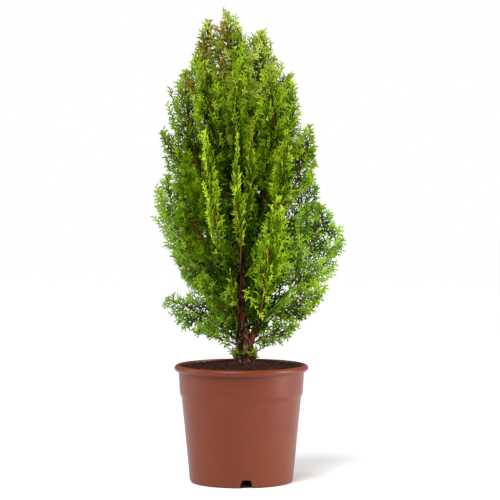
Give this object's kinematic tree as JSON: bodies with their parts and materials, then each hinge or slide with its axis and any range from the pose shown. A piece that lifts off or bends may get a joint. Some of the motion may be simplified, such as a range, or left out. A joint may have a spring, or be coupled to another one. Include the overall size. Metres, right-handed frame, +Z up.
{
  "type": "potted oriental thuja",
  "caption": "Young upright oriental thuja with flat fan sprays of golden-green scale foliage on several stems, growing in a plain round plastic nursery pot.",
  "frame": {"origin": "centre of the pot's underside, on the floor", "axes": "+Z up along the stem, -Y towards the front, +X to the right seen from the front"},
  "size_m": [0.2733, 0.2017, 0.663],
  "materials": {
    "pot_plastic": "satin moulded",
    "compost": "crumbly",
    "bark": "stringy bark",
    "foliage": "scale leaves"
  },
  "bodies": {
    "root": {"pot": "pot_plastic", "soil": "compost", "trunk": "bark", "stem_right": "bark", "stem_left": "bark", "stem_back": "bark", "stem_back_right": "bark", "stem_front_left": "bark", "stem_front": "bark", "stem_front_right": "bark", "bough_left_low": "bark", "bough_left_mid": "bark", "bough_left_skirt": "bark", "bough_right_low": "bark", "bough_right_skirt": "bark", "bough_right_mid": "bark", "bough_right_top": "bark", "bough_back_left": "bark", "bough_back_low": "bark", "leader": "foliage", "plume_top_left": "foliage", "plume_top_right": "foliage", "plume_top_front": "foliage", "plume_back": "foliage", "plume_left": "foliage", "fan_left_mid": "foliage", "fan_left_low": "foliage", "fan_left_under": "foliage", "skirt_left": "foliage", "tuft_left": "foliage", "plume_right": "foliage", "fan_right_mid": "foliage", "fan_right_low": "foliage", "fan_right_under": "foliage", "skirt_right": "foliage", "ribbon_front_left": "foliage", "ribbon_front": "foliage", "ribbon_inner": "foliage", "ribbon_front_right": "foliage", "ribbon_right_upper": "foliage", "plume_front_left": "foliage", "plume_front": "foliage", "plume_front_right": "foliage", "fan_front_left": "foliage", "skirt_front_left": "foliage", "skirt_front": "foliage", "skirt_front_right": "foliage", "fan_back_left_low": "foliage", "fan_back_left_mid": "foliage", "plume_back_left": "foliage", "fan_back_low": "foliage", "fan_back_mid": "foliage", "fan_back_right_low": "foliage", "fan_back_right_mid": "foliage", "plume_back_right": "foliage", "fan_right_back": "foliage", "inner_low": "foliage", "inner_high": "foliage"}
  },
  "joints": []
}
